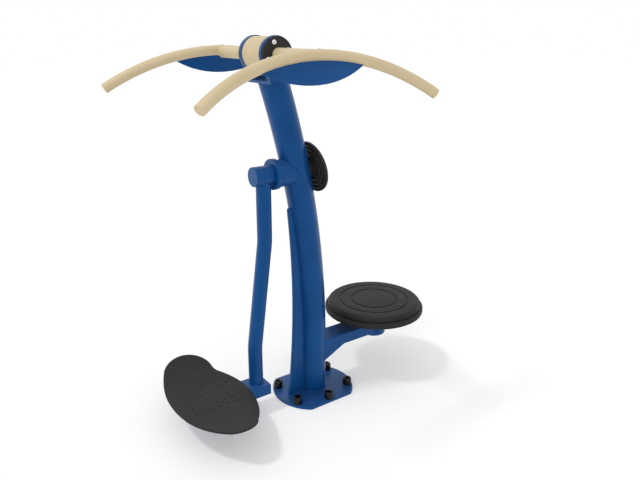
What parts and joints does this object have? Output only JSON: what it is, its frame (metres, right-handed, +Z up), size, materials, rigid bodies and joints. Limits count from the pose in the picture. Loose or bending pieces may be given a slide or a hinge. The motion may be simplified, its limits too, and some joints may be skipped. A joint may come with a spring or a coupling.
{
  "type": "outdoor pendulum twister",
  "caption": "Outdoor pendulum twister: a leaning post on a bolted base plate, with a swinging foot board, a turning stand disc and arched handlebars.",
  "frame": {"origin": "centre of the base plate's underside, on the ground", "axes": "+Z up, +X from the post to the twister disc, -X to the foot board, +Y to the left handlebar; mirror plane XZ"},
  "size_m": [1.2711, 0.8702, 1.5326],
  "materials": {
    "blue_paint": "satin powder coat on steel",
    "tan_paint": "satin powder coat on steel",
    "grey_moulding": "moulded, fine texture",
    "black_rubber": "moulded, matte",
    "black_plastic": "moulded, satin",
    "bright_steel": "polished",
    "machined_steel": "machined"
  },
  "bodies": {
    "stand": {"base_plate": "blue_paint", "anchor_caps": "black_plastic", "main_post": "blue_paint", "post_spine": "blue_paint", "pivot_housing": "blue_paint", "pivot_collar": "blue_paint", "pivot_front_outer_race": "machined_steel", "pivot_front_balls": "machined_steel", "pivot_rear_outer_race": "machined_steel", "pivot_rear_balls": "machined_steel", "twister_arm": "blue_paint", "twister_hub": "blue_paint", "hub_bottom_cover": "blue_paint", "twister_upper_outer_race": "machined_steel", "twister_upper_balls": "machined_steel", "twister_lower_outer_race": "machined_steel", "twister_lower_balls": "machined_steel", "head_yoke": "blue_paint", "head_band": "tan_paint", "head_cap_left": "black_plastic", "head_cap_right": "black_plastic", "cap_screws": "bright_steel", "cross_tube": "tan_paint", "handlebar_left": "tan_paint", "handlebar_right": "tan_paint", "handle_end_plugs": "tan_paint", "handle_web_left": "blue_paint", "handle_web_right": "blue_paint", "pad_mount": "black_plastic", "round_pad": "black_rubber"},
    "pendulum": {"pivot_axle": "machined_steel", "axle_spacer": "machined_steel", "axle_washer": "machined_steel", "axle_nut": "machined_steel", "pendulum_hub": "blue_paint", "pendulum_hub_cap": "blue_paint", "pendulum_tube": "blue_paint", "foot_beam": "blue_paint", "beam_cap_inner": "blue_paint", "beam_cap_outer": "blue_paint", "board_bearers": "blue_paint", "board_bolts": "machined_steel", "foot_board": "grey_moulding", "pivot_front_inner_race": "machined_steel", "pivot_rear_inner_race": "machined_steel"},
    "twister": {"twister_spindle": "machined_steel", "spindle_spacer": "machined_steel", "spindle_washer": "machined_steel", "spindle_nut": "machined_steel", "disc_carrier": "blue_paint", "carrier_bolts": "machined_steel", "twister_disc": "grey_moulding", "twister_upper_inner_race": "machined_steel", "twister_lower_inner_race": "machined_steel"}
  },
  "joints": [
    {"name": "pendulum_swing", "type": "hinge", "parent": "stand", "child": "pendulum", "pos_m": [-0.2, 0, 1.018], "axis": [1, 0, 0], "range_deg": [-30, 30]},
    {"name": "twister_spin", "type": "hinge", "parent": "stand", "child": "twister", "pos_m": [0.3528, 0, 0.3], "axis": [0, 0, 1], "continuous": true}
  ]
}
